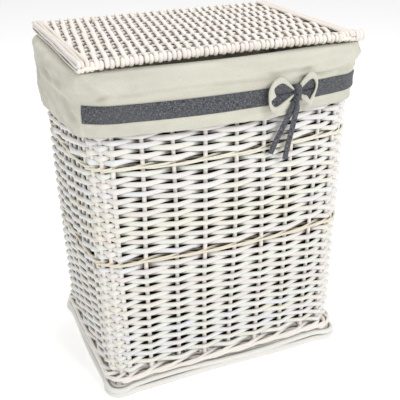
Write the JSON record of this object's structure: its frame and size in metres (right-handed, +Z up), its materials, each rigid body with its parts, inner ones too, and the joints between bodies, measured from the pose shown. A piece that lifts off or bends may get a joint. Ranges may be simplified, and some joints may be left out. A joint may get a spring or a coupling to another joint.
{
  "type": "lidded wicker laundry basket",
  "caption": "Tall rectangular basket of woven white willow with a hinged lid and a cotton liner folded over its rim, tied with a ribbon bow; holds laundry.",
  "frame": {"origin": "on the floor under the middle of the whole basket's bounding box, bow included", "axes": "+X right along the long front, -Y towards the front with the bow, +Z up"},
  "size_m": [0.4906, 0.365, 0.5781],
  "materials": {
    "white_willow": "whitewashed split willow, satin, streaked with cream and pale grey",
    "willow_stick": "whitewashed round willow stick, satin",
    "ivory_cotton": "plain-woven ivory cotton, matt",
    "grey_chambray": "blue-grey chambray ribbon, heathered, matt"
  },
  "bodies": {
    "basket": {"base_mat": "white_willow", "foot_border": "white_willow", "foot_wale": "white_willow", "weave_lower": "white_willow", "wale_lower": "white_willow", "weave_middle": "white_willow", "wale_upper": "white_willow", "weave_upper": "white_willow", "stakes_and_rim": "white_willow", "base_stick_1": "willow_stick", "base_stick_2": "willow_stick", "base_stick_3": "willow_stick", "base_stick_4": "willow_stick", "base_stick_5": "willow_stick", "liner_bag": "ivory_cotton", "liner_cuff": "ivory_cotton", "bow_loop_left": "ivory_cotton", "bow_loop_right": "ivory_cotton", "cuff_band": "grey_chambray", "bow_lining_left": "grey_chambray", "bow_lining_right": "grey_chambray", "bow_knot": "grey_chambray", "bow_tail_left": "grey_chambray", "bow_tail_right": "grey_chambray", "hinge_loop_left": "willow_stick", "hinge_loop_right": "willow_stick"},
    "lid": {"lid_weave": "white_willow", "lid_left_border": "white_willow", "lid_right_border": "white_willow", "lid_front_rail": "willow_stick", "lid_back_rail": "willow_stick", "lid_stick_1": "willow_stick", "lid_stick_2": "willow_stick", "lid_stick_3": "willow_stick", "lid_stick_4": "willow_stick", "lid_stick_5": "willow_stick", "lid_stick_6": "willow_stick"}
  },
  "joints": [
    {"name": "lid_hinge", "type": "hinge", "parent": "basket", "child": "lid", "pos_m": [0, 0.1541, 0.5662], "axis": [-1, 0, 0], "range_deg": [0, 105]}
  ]
}
